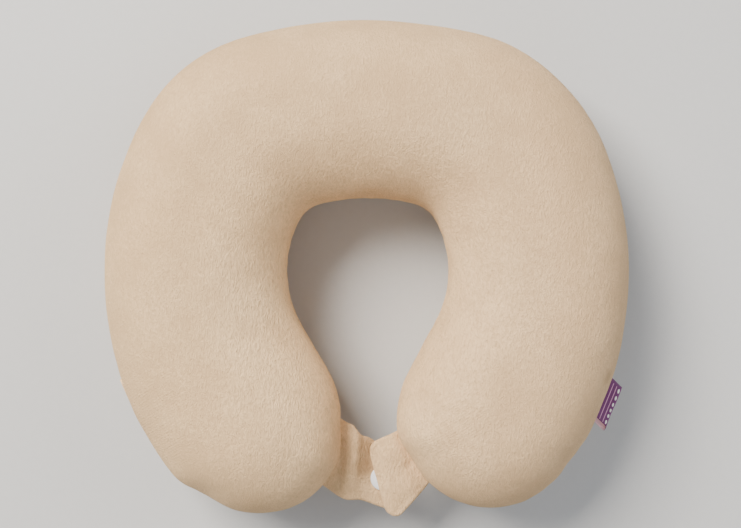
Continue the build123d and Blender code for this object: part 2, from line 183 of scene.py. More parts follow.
def apply_modifiers(piece):
    """Bakes a piece's modifiers into its mesh."""
    graph = bpy.context.evaluated_depsgraph_get()
    mesh = bpy.data.meshes.new_from_object(piece.evaluated_get(graph))
    piece.modifiers.clear()
    piece.data = mesh
    return piece


def paint(piece, material):
    """Gives a piece one material."""
    piece.data.materials.clear()
    piece.data.materials.append(material)


# ---- Node helpers ----
def node_tree(name):
    """New material with its tree, its shader and a function that adds nodes."""
    material = bpy.data.materials.new(name)
    material.use_nodes = True
    tree = material.node_tree
    shader = tree.nodes["Principled BSDF"]

    def add(kind, inputs=None, **settings):
        made = tree.nodes.new(kind)
        for key, value in settings.items():
            setattr(made, key, value)
        for key, value in (inputs or {}).items():
            if isinstance(value, bpy.types.NodeSocket):
                tree.links.new(value, made.inputs[key])
            else:
                made.inputs[key].default_value = value
        return made

    return material, tree, shader, add


def mapped(add, scale, turn=(0, 0, 0)):
    """Object coordinates, scaled and turned."""
    coords = add("ShaderNodeTexCoord")
    mapping = add(
        "ShaderNodeMapping",
        {"Vector": coords.outputs["Object"], "Scale": scale, "Rotation": turn},
    )
    return mapping.outputs["Vector"]


def noise_value(add, vector, scale, detail=2.0, rough=0.5, distort=0.0):
    """Grey noise."""
    made = add(
        "ShaderNodeTexNoise",
        {
            "Vector": vector,
            "Scale": scale,
            "Detail": detail,
            "Roughness": rough,
            "Distortion": distort,
        },
    )
    return made.outputs["Fac"]


def between(add, value, low, high, to_low=0.0, to_high=1.0):
    """Value remapped from one range to another, and clamped."""
    made = add(
        "ShaderNodeMapRange",
        {"Value": value, "From Min": low, "From Max": high, "To Min": to_low, "To Max": to_high},
    )
    return made.outputs["Result"]


def math_node(add, operation, first, second=0.5):
    """Arithmetic on two values."""
    return add("ShaderNodeMath", {0: first, 1: second}, operation=operation).outputs["Value"]


def near(add, vector, centre, inner, outer):
    """1 within the inner distance of a place, falling smoothly to 0 at the outer distance."""
    gap = add("ShaderNodeVectorMath", {0: vector, 1: centre}, operation="DISTANCE").outputs["Value"]
    made = add(
        "ShaderNodeMapRange",
        {"Value": gap, "From Min": inner, "From Max": outer, "To Min": 1.0, "To Max": 0.0},
        interpolation_type="SMOOTHSTEP",
    )
    return made.outputs["Result"]


def mixed(add, share, first, second):
    """Two colours mixed by a share."""
    made = add("ShaderNodeMix", data_type="RGBA", blend_type="MIX")
    tree = made.id_data
    sockets = (made.inputs[0], made.inputs[6], made.inputs[7])
    for socket, value in zip(sockets, (share, first, second)):
        if isinstance(value, bpy.types.NodeSocket):
            tree.links.new(value, socket)
        else:
            socket.default_value = value
    return made.outputs[2]


# ---- Materials ----
def velour(name, tones, nap, thin=(), stained_and_shaded=()):
    """Short pile velour: clumped nap with painted shade between the clumps, knit ribs where it lies thin, a tone
    that drifts, and spots of real stain and of painted shade.
    """
    material, tree, shader, add = node_tree(name)
    whole = mapped(add, (1, 1, 1))
    drift = noise_value(add, whole, 14, 2)
    lean = noise_value(add, whole, 38, 3, 0.6)
    laid = mapped(add, (1.0, 0.42, 0.8), turn=(0, 0, 0.16))
    clumps = noise_value(add, laid, 820, 3, 0.6, 0.5)
    fibres = noise_value(add, laid, 2100, 2, 0.7)
    ribs = add(
        "ShaderNodeTexWave",
        {
            "Vector": mapped(add, (1, 1, 1), turn=(0, 0, radians(58))),
            "Scale": 215.0,
            "Distortion": 3.2,
            "Detail": 2.0,
            "Detail Scale": 2.2,
        },
    ).outputs["Fac"]
    rib_share = 0.0
    for centre, inner, outer in thin:
        rib_share = math_node(add, "MAXIMUM", rib_share, near(add, whole, centre, inner, outer))
    fluffy = near(add, whole, (0.0, -0.03, 0.06), 0.045, 0.125)
    nap_share = math_node(
        add,
        "MULTIPLY",
        between(add, lean, 0.35, 0.65, 0.55, 1.0),
        between(add, fluffy, 0.0, 1.0, 0.5, 1.0),
    )

    # Height of the pile: clumps and fibres everywhere, ribs where the pile lies thin.
    tufts = math_node(add, "MULTIPLY", clumps, nap_share)
    fine = math_node(add, "MULTIPLY", fibres, 0.35)
    ribbed = math_node(add, "MULTIPLY", math_node(add, "MULTIPLY", ribs, rib_share), 0.05)
    height = math_node(add, "ADD", math_node(add, "ADD", tufts, fine), ribbed)
    bump = add("ShaderNodeBump", {"Height": height, "Strength": nap, "Distance": 0.0028})

    # Colour: warm to pink from the left arm to the right, darker between the clumps with painted shade.
    split = add("ShaderNodeSeparateXYZ", {"Vector": whole})
    side = between(add, split.outputs["X"], -0.16, 0.16)
    warm_pink = mixed(add, side, tones["warm"], tones["pink"])
    drifted = mixed(add, between(add, drift, 0.35, 0.7, 0.0, 0.3), warm_pink, tones["light"])
    # Painted shade: the deep tone is laid into the low places between the clumps.
    painted_pile_shade = between(add, math_node(add, "ADD", tufts, fine), 0.30, 0.64, 0.62, 0.0)
    shaded = mixed(add, painted_pile_shade, drifted, tones["deep"])
    # Spots of the stain tone: real faint stains on the cover, and painted shade in the left tab's fold valley over
    # some brown soiling.
    for centre, inner, outer, share in stained_and_shaded:
        stain_and_shade_marks = math_node(add, "MULTIPLY", near(add, whole, centre, inner, outer), share)
        shaded = mixed(add, stain_and_shade_marks, shaded, tones["stain_and_shade"])
    tree.links.new(shaded, shader.inputs["Base Color"])
    tree.links.new(bump.outputs["Normal"], shader.inputs["Normal"])
    shader.inputs["Roughness"].default_value = 0.95
    shader.inputs["Specular IOR Level"].default_value = 0.12
    shader.inputs["Sheen Weight"].default_value = 0.30
    shader.inputs["Sheen Roughness"].default_value = 0.38
    shader.inputs["Sheen Tint"].default_value = tones["light"]
    return material


def woven(name, first, second, scale, rough=0.85):
    """Plain woven or knitted cloth of two yarn tones."""
    material, tree, shader, add = node_tree(name)
    weave = []
    for direction in ("X", "Y", "Z"):
        wave = add(
            "ShaderNodeTexWave",
            {"Vector": mapped(add, (1, 1, 1)), "Scale": scale, "Distortion": 0.6},
            bands_direction=direction,
        )
        weave.append(wave.outputs["Fac"])
    yarns = math_node(add, "MULTIPLY", math_node(add, "ADD", weave[0], weave[1]), weave[2])
    fuzz = noise_value(add, mapped(add, (1, 1, 1)), 900, 2)
    height = math_node(add, "ADD", yarns, fuzz)
    tone = mixed(add, between(add, height, 0.4, 1.6), first, second)
    tree.links.new(tone, shader.inputs["Base Color"])
    bump = add("ShaderNodeBump", {"Height": height, "Strength": 0.5, "Distance": 0.0003})
    tree.links.new(bump.outputs["Normal"], shader.inputs["Normal"])
    shader.inputs["Roughness"].default_value = rough
    return material


def smooth_hard(name, first, second, rough, metal, worn_scale=90):
    """Moulded plastic or enamelled metal with faint mottling."""
    material, tree, shader, add = node_tree(name)
    mottle = noise_value(add, mapped(add, (1, 1, 1)), worn_scale, 4, 0.6)
    scuffs = noise_value(add, mapped(add, (1, 1, 1)), 1400, 2)
    tone = mixed(add, between(add, mottle, 0.35, 0.7), first, second)
    tree.links.new(tone, shader.inputs["Base Color"])
    tree.links.new(between(add, mottle, 0.3, 0.7, rough, rough + 0.12), shader.inputs["Roughness"])
    bump = add("ShaderNodeBump", {"Height": scuffs, "Strength": 0.12, "Distance": 0.0001})
    tree.links.new(bump.outputs["Normal"], shader.inputs["Normal"])
    shader.inputs["Metallic"].default_value = metal
    return material


def open_cell_foam(name):
    """Moulded foam with pores, darkened in the pores by painted shade."""
    material, tree, shader, add = node_tree(name)
    pores = add("ShaderNodeTexVoronoi", {"Vector": mapped(add, (1, 1, 1)), "Scale": 700.0})
    # Painted shade: the tone is darker at the pores.
    tone = mixed(
        add,
        between(add, pores.outputs["Distance"], 0.0, 0.5),
        (0.55, 0.47, 0.24, 1),
        (0.80, 0.73, 0.48, 1),
    )
    tree.links.new(tone, shader.inputs["Base Color"])
    bump = add(
        "ShaderNodeBump", {"Height": pores.outputs["Distance"], "Strength": 0.6, "Distance": 0.0005}
    )
    tree.links.new(bump.outputs["Normal"], shader.inputs["Normal"])
    shader.inputs["Roughness"].default_value = 0.9
    return material


# ---- Cover ----
def pillow_body():
    """The core's form, remeshed evenly and pushed out along its normals to the cover's size."""
    core = frame["nodes"]["foam_core"]
    bm = bmesh.new()
    bm.from_mesh(core.data)
    bmesh.ops.remove_doubles(bm, verts=bm.verts, dist=1e-5)
    body = new_object("pillow_body", mesh_from(bm, "pillow_body"))
    remesh = body.modifiers.new("Even", "REMESH")
    remesh.mode = "VOXEL"
    remesh.voxel_size = bpy.context.scene.neck_pillow.voxel
    apply_modifiers(body)
    relax = body.modifiers.new("Relax", "SMOOTH")
    relax.iterations = 3
    apply_modifiers(body)
    moves = []
    for vertex in body.data.vertices:
        slack = SLACK_DEPTH * noise.noise(vertex.co * SLACK_SCALE)
        moves.append(vertex.normal * (COVER_FILL * (COVER_OFFSET + slack)))
    for vertex, move in zip(body.data.vertices, moves):
        vertex.co += move
    finer = body.modifiers.new("Finer", "SUBSURF")
    finer.levels = 1
    finer.render_levels = 1
    return apply_modifiers(body)


def seam_shape(point):
    """How far the seam pulls the cover in at a point, with a pucker every few centimetres."""
    settings = bpy.context.scene.neck_pillow
    height = point.z - SEAM_Z
    walk = atan2(point.y, point.x)
    wave = noise.noise(Vector((cos(walk) * 9, sin(walk) * 9, point.to_2d().length * 14)))
    groove = settings.seam_depth * bell(height, GROOVE_HEIGHT)
    reach = bell(height, PUCKER_HEIGHT)
    notches = sum(swelling(point, notch) * reach for notch in PUCKERS)
    return groove + notches + WAVE_DEPTH * (0.5 + wave) * bell(height, WAVE_HEIGHT)


def settle(point):
    """Shift that makes the sewn outline a little uneven: a full top left, unlike arm tips."""
    full_left = swelling(point, FULL_LEFT)
    full_right = swelling(point, FULL_RIGHT)
    shift = Vector((-0.6 * full_left + 0.5 * full_right, 0.8 * full_left + 0.87 * full_right, 0))
    side = 1 if point.x > 0 else -1
    gap = Vector((point.x - side * TIP_X, point.y - TIP_Y, 0))
    away = gap.length
    gap.normalize()
    inner, down = -side * gap.x, -gap.y
    round_share = smoothstep(0.010, 0.045, away) * smoothstep(0.080, 0.062, away)
    if side > 0:
        shift.x += swelling(point, INNER_BULGE)
        draw = -(0.0029 + 0.0013 * inner) * smoothstep(0.12, 0.50, down)
    else:
        draw = 0.0042 * smoothstep(-0.1, 0.75, inner) * smoothstep(0.0, 0.45, down)
        draw -= swelling(point, TIP_DENT)
    return shift + gap * draw * round_share


def zip_puff(point):
    """How far the cover stands out over the zip, which it hides from above."""
    height = point.z - SEAM_Z
    side = smoothstep(ZIP_FRONT - 0.012, ZIP_FRONT + 0.010, point.y)
    side *= smoothstep(ZIP_BACK + 0.012, ZIP_BACK - 0.010, point.y)
    rise = smoothstep(0.003, 0.009, height) * smoothstep(0.034, 0.012, height)
    return bpy.context.scene.neck_pillow.zip_puff * side * rise if point.x < 0 else 0.0


def in_zip(point, half_height, margin=0.0):
    """Whether a point is on the outer band beside the zip."""
    across = hypot(point.x - ZIP_CENTRE.x, point.y - ZIP_CENTRE.y)
    return (
        across > SIDE_RADIUS - ZIP_BAND
        and point.x < 0
        and ZIP_FRONT - margin < point.y < ZIP_BACK + margin
        and abs(point.z - SEAM_Z) < half_height
    )


def shape_cover(body):
    """Cuts the seam line, draws the seam in, settles the outline and lets the cover stand out over the zip."""
    bm = bmesh.new()
    bm.from_mesh(body.data)
    for offset in SEAM_CUTS:
        bmesh.ops.bisect_plane(
            bm,
            geom=bm.verts[:] + bm.edges[:] + bm.faces[:],
            dist=WELD,
            plane_co=(0, 0, SEAM_Z + offset),
            plane_no=UP,
        )
    bm.normal_update()
    moves = []
    for vertex in bm.verts:
        outward = Vector((vertex.normal.x, vertex.normal.y, 0))
        zip_share = ZIP_SEAM_SHARE if in_zip(vertex.co, ZIP_BAND, 0.005) else 1.0
        drawn = seam_shape(vertex.co) * zip_share
        moves.append(settle(vertex.co) + outward * (zip_puff(vertex.co) - drawn))
    for vertex, move in zip(bm.verts, moves):
        vertex.co += move
    return bm


def open_zip(bm):
    """Takes the cover away over the zip and rolls the cut edges in."""
    half = bpy.context.scene.neck_pillow.zip_gap / 2
    for offset in (-half, half):
        bmesh.ops.bisect_plane(
            bm,
            geom=bm.verts[:] + bm.edges[:] + bm.faces[:],
            dist=WELD,
            plane_co=(0, 0, SEAM_Z + offset),
            plane_no=UP,
        )
    gone = [face for face in bm.faces if in_zip(face.calc_center_median(), half)]
    bmesh.ops.delete(bm, geom=gone, context="FACES")
    rim = [edge for edge in bm.edges if edge.is_boundary]
    for depth in ROLLED_EDGE:
        made = bmesh.ops.extrude_edge_only(bm, edges=rim)["geom"]
        rim = [item for item in made if isinstance(item, bmesh.types.BMEdge)]
        for vertex in {v for edge in rim for v in edge.verts}:
            inward = Vector((ZIP_CENTRE.x - vertex.co.x, ZIP_CENTRE.y - vertex.co.y, 0))
            vertex.co += inward.normalized() * depth


def half_cover(bm, name, keep_upper):
    """One panel of the cover, above or below the seam."""
    panel = bm.copy()
    unwanted = [f for f in panel.faces if (f.calc_center_median().z > SEAM_Z) != keep_upper]
    bmesh.ops.delete(panel, geom=unwanted, context="FACES")
    return new_object(name, mesh_from(panel, name))


def settled_copy(node, name):
    """Copy of an inner layer that follows the cover's uneven outline."""
    bm = bmesh.new()
    bm.from_mesh(frame["nodes"][node].data)
    bmesh.ops.remove_doubles(bm, verts=bm.verts[:], dist=WELD)
    for vertex in bm.verts:
        vertex.co += settle(vertex.co)
    return new_object(name, mesh_from(bm, name))


class NECKPILLOW_OT_cover(bpy.types.Operator):
    """Make the two panels of the velour cover"""

    bl_idname = "neck_pillow.cover"
    bl_label = "Cover"

    def execute(self, context):
        settings = context.scene.neck_pillow
        body = pillow_body()
        bm = shape_cover(body)
        open_zip(bm)
        thin = (
            ((-0.120, -0.080, 0.070), 0.010, 0.050),
            ((0.045, -0.080, 0.085), 0.010, 0.035),
        )
        # A real faint brown stain on the right arm.
        stain_and_shade_marks = (((0.132, -0.0605, 0.072), 0.001, 0.007, 0.40),)
        cloth = velour("cream_velour", settings.tones(), settings.nap, thin, stain_and_shade_marks)
        for name, node, upper in (
            ("cover_upper", "cover_top_panel", True),
            ("cover_lower", "cover_bottom_panel", False),
        ):
            panel = half_cover(bm, name, upper)
            paint(panel, cloth)
            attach(panel, "pillow")
            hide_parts(node)
        bm.free()
        bpy.data.objects.remove(body)
        return {"FINISHED"}


# ---- Snap tabs ----
def rounded_strap(cuts):
    """Cube cut into a fine grid; its corners run from -1 to 1 along, across and up."""
    bm = bmesh.new()
    bmesh.ops.create_cube(bm, size=2)
    bmesh.ops.subdivide_edges(bm, edges=bm.edges[:], cuts=cuts, use_grid_fill=True)
    return bm


def plan_point(corners, along, across):
    """Point in a four cornered plan: root low, root high, end low, end high."""
    root = corners[0].lerp(corners[1], across)
    end = corners[2].lerp(corners[3], across)
    return root.lerp(end, along)


def rounded_plan(along, across, round_low, round_high):
    """Plan shares, 0 to 1, with the two corners of the free end rounded off."""
    reach = round_low if across < 0.5 else round_high
    edge = across if across < 0.5 else 1 - across
    if along < 1 - reach or edge > reach:
        return along, across
    ahead = (along - 1 + reach) / reach
    aside = 1 - edge / reach
    turned_ahead = ahead * (1 - aside * aside / 2) ** 0.5
    turned_aside = aside * (1 - ahead * ahead / 2) ** 0.5
    edge = reach * (1 - turned_aside)
    return 1 - reach * (1 - turned_ahead), edge if across < 0.5 else 1 - edge


def shape_strap(bm, corners, rounding, half_thickness, fold):
    """Turns the gridded cube into a padded strap with soft rounded edges."""
    for vertex in bm.verts:
        along, across, up = vertex.co
        turn = up * pi / 2
        u, v = rounded_plan((along + 1) / 2, (across + 1) / 2, *rounding)
        spot = plan_point(corners, u, v)
        outward = plan_point(corners, 1.0, v) - plan_point(corners, 0.0, v)
        outward.normalize()
        sideways = (corners[3] - corners[2]).normalized()
        rim = outward * max((along - 0.9) * 10, 0) + sideways * across * (abs(across) > 0.9)
        if rim.length > 0:
            spot += rim.normalized() * half_thickness * cos(turn)
        edge = 1.0 - 0.35 * smoothstep(0.6, 1.0, max(abs(across), along))
        lift = half_thickness * sin(turn) * edge
        vertex.co = spot + fold(spot, u, v) + UP * lift


def ragged(bm, strength, scale):
    """Small uneven swellings of a soft piece."""
    bm.normal_update()
    moves = [v.normal * strength * noise.noise(v.co * scale) for v in bm.verts]
    for vertex, move in zip(bm.verts, moves):
        vertex.co += move


def left_fold(spot, u, v):
    """Drop from the seam to the snap, a fold across the middle and a lower edge that hangs out."""
    hinge, _, _ = hinge_frame("left_tab_flap")
    settled = SEAM_Z + (hinge.z - SEAM_Z) * smoothstep(0.1, 0.4, u)
    crest = CREST_X + CREST_LEAN * (spot.y - CREST_Y)
    fade = 0.35 + 0.65 * smoothstep(-0.130, -0.117, spot.y)
    climb = smoothstep(crest - 0.010, crest - 0.002, spot.x)
    near_drop = smoothstep(crest - 0.0008, crest + 0.0030, spot.x)
    far_drop = smoothstep(crest, crest + 0.0095, spot.x)
    ridge = RIDGE_BASE + RIDGE_CLIMB * climb - RIDGE_DROP * near_drop - RIDGE_DROP * far_drop
    pinch = -PINCH_DEPTH * bell(spot.x - PINCH_X, PINCH_WIDTH) * smoothstep(-0.104, -0.112, spot.y)
    hang = -HANG_DEPTH * bell(spot.x - HANG_X, HANG_WIDTH) * smoothstep(0.5, 0.0, v)
    nick = (0.0012 * bell(spot.x + 0.0080, 0.003) - 0.0016 * bell(spot.x + 0.0035, 0.003)) * v * v
    return Vector((0, hang + nick, settled + ridge * fade + pinch))


def right_fold(spot, u, v):
    """Rise from the seam to the snap, and a short crease near the arm."""
    hinge, _, _ = hinge_frame("right_tab_flap")
    settled = SEAM_Z + (hinge.z - SEAM_Z) * smoothstep(0.05, 0.45, u)
    across = (spot.x - CREASE_X) * 0.55 - (spot.y - CREASE_Y) * 0.83
    away = hypot(spot.x - CREASE_X, spot.y - CREASE_Y)
    crease = -CREASE_DEPTH * bell(across, CREASE_WIDTH) * bell(away, CREASE_LENGTH)
    ring = RING_HEIGHT * bell(away - RING_RADIUS, RING_WIDTH)
    return Vector((0, 0, settled + crease + ring))


TAB_SHAPES = {
    "left_tab": {
        "joint": "left_tab_flap",
        "plan": ((-0.0320, -0.1210), (-0.0230, -0.0850), (0.0120, -0.1400), (0.0060, -0.1045)),
        "rounding": (0.10, 0.10),
        "fold": left_fold,
        "nodes": ("left_tab_face", "left_tab_lining", "left_tab_sewn_end"),
    },
    "right_tab": {
        "joint": "right_tab_flap",
        "plan": ((0.0365, -0.1215), (0.0230, -0.0945), (0.0137, -0.1465), (0.0022, -0.1038)),
        "rounding": (0.26, 0.13),
        "fold": right_fold,
        "nodes": ("right_tab_face", "right_tab_lining", "right_tab_sewn_end"),
    },
}


class NECKPILLOW_OT_tabs(bpy.types.Operator):
    """Make the two snap tabs"""

    bl_idname = "neck_pillow.tabs"
    bl_label = "Snap tabs"

    def execute(self, context):
        settings = context.scene.neck_pillow
        # Painted shade in the left tab's fold valley, darker than the fold's slope alone shades it, over some
        # brown soiling.
        stain_and_shade_marks = (
            ((-0.0012, -0.105, 0.043), 0.002, 0.010, 0.60),
            ((-0.0020, -0.116, 0.043), 0.002, 0.011, 0.65),
        )
        cloth = velour("tab_velour", settings.tones(), settings.nap, stained_and_shaded=stain_and_shade_marks)
        for name, shape in TAB_SHAPES.items():
            corners = [Vector((*place, 0)) for place in shape["plan"]]
            bm = rounded_strap(TAB_CUTS)
            shape_strap(bm, corners, shape["rounding"], settings.tab_thickness / 2, shape["fold"])
            ragged(bm, TAB_RAGGED, TAB_RAGGED_SCALE)
            bmesh.ops.recalc_face_normals(bm, faces=bm.faces[:])
            tab = new_object(name, mesh_from(bm, name))
            paint(tab, cloth)
            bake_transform(tab)
            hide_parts(*shape["nodes"])
        return {"FINISHED"}


# ---- Snap ----
def spun(name, profile, place):
    """Round piece spun from a profile of radius and height pairs about an upright axis."""
    bm = bmesh.new()
    points = [bm.verts.new((radius, 0, height)) for radius, height in profile]
    edges = [bm.edges.new(pair) for pair in zip(points, points[1:])]
    bmesh.ops.spin(
        bm,
        geom=points + edges,
        cent=(0, 0, 0),
        axis=(0, 0, 1),
        angle=2 * pi,
        steps=SPIN_STEPS,
        use_merge=True,
    )
    bmesh.ops.remove_doubles(bm, verts=bm.verts[:], dist=WELD)
    bmesh.ops.recalc_face_normals(bm, faces=bm.faces[:])
    bmesh.ops.translate(bm, verts=bm.verts[:], vec=place)
    return new_object(name, mesh_from(bm, name))


class NECKPILLOW_OT_snap(bpy.types.Operator):
    """Make the snap's socket and stud"""

    bl_idname = "neck_pillow.snap"
    bl_label = "Snap"

    def execute(self, context):
        plastic = smooth_hard(
            "white_snap", (0.82, 0.84, 0.88, 1), (0.74, 0.76, 0.80, 1), rough=0.28, metal=0.0
        )
        low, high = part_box("snap_socket")
        radius = (high.x - low.x) / 2
        thick = high.z - low.z
        hollow = 0.0022
        flange = 0.0012
        socket = spun(
            "snap_socket_disc",
            (
                (0, 0),
                (radius - 0.0006, 0),
                (radius - 0.0001, 0.0003),
                (radius, 0.0007),
                (radius - 0.0003, 0.0011),
                (radius - flange, flange),
                (hollow + 0.0020, flange),
                (hollow + 0.0016, thick - 0.0001),
                (hollow + 0.0010, thick),
                (hollow + 0.0001, thick - 0.0001),
                (hollow, thick - 0.0003),
                (hollow, 0.0002),
                (0, 0.0002),
            ),
            Vector(((low.x + high.x) / 2, (low.y + high.y) / 2, low.z)),
        )
        low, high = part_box("snap_stud")
        radius = (high.x - low.x) / 2
        thick = high.z - low.z
        hub = 0.0018
        stud = spun(
            "snap_stud_disc",
            (
                (0, thick),
                (radius - 0.0002, thick),
                (radius, thick - 0.0003),
                (radius - 0.0002, thick - 0.0008),
                (hub + 0.0004, thick - 0.0010),
                (hub, thick - 0.0013),
                (hub - 0.0002, 0.0007),
                (hub, 0.0004),
                (hub - 0.0003, 0.0001),
                (hub - 0.0007, 0),
                (0, 0),
            ),
            Vector(((low.x + high.x) / 2, (low.y + high.y) / 2, low.z)),
        )
        for piece, body, node in (
            (socket, "left_tab", "snap_socket"),
            (stud, "right_tab", "snap_stud"),
        ):
            paint(piece, plastic)
            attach(piece, body)
            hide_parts(node)
        for node in ("snap_socket_cap", "snap_stud_cap"):
            frame["nodes"][node].material_slots[0].material = plastic
        return {"FINISHED"}


# ---- Side label ----
def ribbon(name):
    """Satin ribbon: plum outside with pale lines and a row of dots, pale pink inside."""
    material, tree, shader, add = node_tree(name)
    split = add(
        "ShaderNodeSeparateXYZ", {"Vector": add("ShaderNodeTexCoord").outputs["UV"]}
    )
    across, down = split.outputs["X"], split.outputs["Y"]
    plum = (0.17, 0.035, 0.16, 1)
    pale, milky = (0.80, 0.42, 0.66, 1), (0.95, 0.93, 0.90, 1)
    low_end, high_end = between(add, down, 0.02, 0.03), between(add, down, 0.94, 0.93)
    inside = math_node(add, "MULTIPLY", low_end, high_end)
    tone = plum
    for place in LINE_PLACES:
        offset = math_node(add, "ABSOLUTE", math_node(add, "SUBTRACT", across, place))
        line = math_node(add, "MULTIPLY", math_node(add, "LESS_THAN", offset, LINE_HALF), inside)
        tone = mixed(add, math_node(add, "MULTIPLY", line, 0.9), tone, pale)
    marks = math_node(add, "FRACT", math_node(add, "MULTIPLY", down, DOT_COUNT))
    beat = math_node(add, "ABSOLUTE", math_node(add, "SUBTRACT", marks, 0.5))
    strip = math_node(add, "ABSOLUTE", math_node(add, "SUBTRACT", across, DOT_PLACE))
    tall = math_node(add, "POWER", math_node(add, "MULTIPLY", beat, 2.4), 2.0)
    wide = math_node(add, "POWER", math_node(add, "MULTIPLY", strip, 8.0), 2.0)
    dot = math_node(add, "LESS_THAN", math_node(add, "ADD", tall, wide), 0.5)
    tone = mixed(add, math_node(add, "MULTIPLY", dot, inside), tone, milky)
    threads = add("ShaderNodeTexWave", {"Vector": mapped(add, (1, 1, 1)), "Scale": 900.0})
    bump = add(
        "ShaderNodeBump", {"Height": threads.outputs["Fac"], "Strength": 0.35, "Distance": 0.0001}
    )
    tree.links.new(tone, shader.inputs["Base Color"])
    tree.links.new(bump.outputs["Normal"], shader.inputs["Normal"])
    shader.inputs["Roughness"].default_value = 0.45
    shader.inputs["Sheen Weight"].default_value = 0.2
    return material


def label_band(half_length, reach, spread):
    """Ribbon folded over at its outer edge, with a UV map across its outside."""
    bm = bmesh.new()
    turns = 10
    flat = [reach * step / turns - LABEL_ROOT * (1 - step / turns) for step in range(turns + 1)]
    profile = [(x, spread) for x in flat]
    for step in range(1, 8):
        turn = pi / 2 - pi * step / 8
        profile.append((reach + spread * cos(turn), spread * sin(turn)))
    profile += [(x, -spread) for x in reversed(flat)]
    points = [bm.verts.new((x, -half_length, z)) for x, z in profile]
    edges = [bm.edges.new(pair) for pair in zip(points, points[1:])]
    rows = 26
    for _ in range(rows):
        made = bmesh.ops.extrude_edge_only(bm, edges=edges)["geom"]
        edges = [item for item in made if isinstance(item, bmesh.types.BMEdge)]
        fresh = [item for item in made if isinstance(item, bmesh.types.BMVert)]
        bmesh.ops.translate(bm, verts=fresh, vec=(0, 2 * half_length / rows, 0))
    uv = bm.loops.layers.uv.new("UVMap")
    for face in bm.faces:
        for loop in face.loops:
            co = loop.vert.co
            loop[uv].uv = (co.x / reach, (co.y + half_length) / (2 * half_length))
    bmesh.ops.reverse_faces(bm, faces=bm.faces[:])
    return bm


class NECKPILLOW_OT_label(bpy.types.Operator):
    """Make the folded side label"""

    bl_idname = "neck_pillow.label"
    bl_label = "Side label"

    def execute(self, context):
        hinge, outward, along = hinge_frame("label_bend")
        settings = context.scene.neck_pillow
        bm = label_band(settings.label_length / 2, settings.label_reach, LABEL_SPREAD)
        for vertex in bm.verts:
            x, y, z = vertex.co
            front = smoothstep(-0.4, 1.0, -y / (settings.label_length / 2))
            upper = smoothstep(-LABEL_SPREAD, LABEL_SPREAD, z)
            slant = LABEL_SLANT * x / settings.label_reach
            y += LABEL_CUT_BACK * front * upper - slant + LABEL_SHIFT
            z += 0.0005 * sin(y * 260) * x / settings.label_reach
            z -= 0.0008 * front * (1 - upper)
            vertex.co = hinge + outward * x - along * y + UP * z
        label = new_object("side_label_ribbon", mesh_from(bm, "side_label_ribbon"))
        thick = label.modifiers.new("Cloth thickness", "SOLIDIFY")
        thick.thickness = LABEL_CLOTH
        thick.offset = 0.0
        thick.material_offset = 1
        paint(label, ribbon("label_ribbon"))
        label.data.materials.append(
            woven("label_inside", (0.97, 0.62, 0.70, 1), (0.92, 0.56, 0.65, 1), 500, 0.6)
        )
        apply_modifiers(label)
        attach(label, "label")
        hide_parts("side_label")
        return {"FINISHED"}


# ---- Pieces that keep their frame shape and only get a finish ----
class NECKPILLOW_OT_inside(bpy.types.Operator):
    """Give the core, liner, zip and seam thread their finishes"""

    bl_idname = "neck_pillow.inside"
    bl_label = "Core, liner and zip"

    def execute(self, context):
        tones = context.scene.neck_pillow.tones()
        finishes = {
            "zip_tape": woven("zip_tape", tones["warm"], tones["deep"], 420),
            "zip_coil": smooth_hard("zip_coil", tones["warm"], tones["deep"], 0.42, 0.0, 300),
            "zip_metal": smooth_hard("zip_enamel", tones["warm"], tones["deep"], 0.5, 0.0, 200),
            "zip_stop": smooth_hard(
                "zip_stop", (0.6, 0.6, 0.6, 1), (0.45, 0.45, 0.46, 1), 0.35, 0.9, 300
            ),
            "label_ribbon": woven("label_end", (0.10, 0.02, 0.11, 1), (0.07, 0.015, 0.08, 1), 500),
        }
        foam = open_cell_foam("memory_foam")
        knit = woven("liner_knit", (0.75, 0.75, 0.72, 1), (0.55, 0.55, 0.52, 1), 320)
        seam = woven("seam_thread", tones["warm"], tones["deep"], 800)
        for node, name, slot, finish in (
            ("foam_core", "foam_u", "memory_foam", foam),
            ("liner_top_panel", "liner_upper", "liner_knit", knit),
            ("liner_bottom_panel", "liner_lower", "liner_knit", knit),
            ("panel_seam_stitches", "seam_thread", "thread", seam),
        ):
            piece = settled_copy(node, name)
            paint(piece, finish)
            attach(piece, "pillow")
            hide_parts(node)
        for part in frame["record"]["subparts"]:
            finish = finishes.get(part["material_slot"])
            node = frame["nodes"][part["node"]]
            if finish and not node.hide_render:
                node.material_slots[0].material = finish
        return {"FINISHED"}


# ---- Stage ----
def soft_light(name, place, target, size, power, tone):
    """Square area light that faces a point."""
    lamp = bpy.data.lights.new(name, "AREA")
    lamp.size = size
    lamp.energy = power
    lamp.color = tone
    made = bpy.data.objects.new(name, lamp)
    made.location = place
    made.rotation_mode = "QUATERNION"
    made.rotation_quaternion = (Vector(target) - Vector(place)).to_track_quat("-Z", "Y")
    bpy.context.scene.collection.objects.link(made)


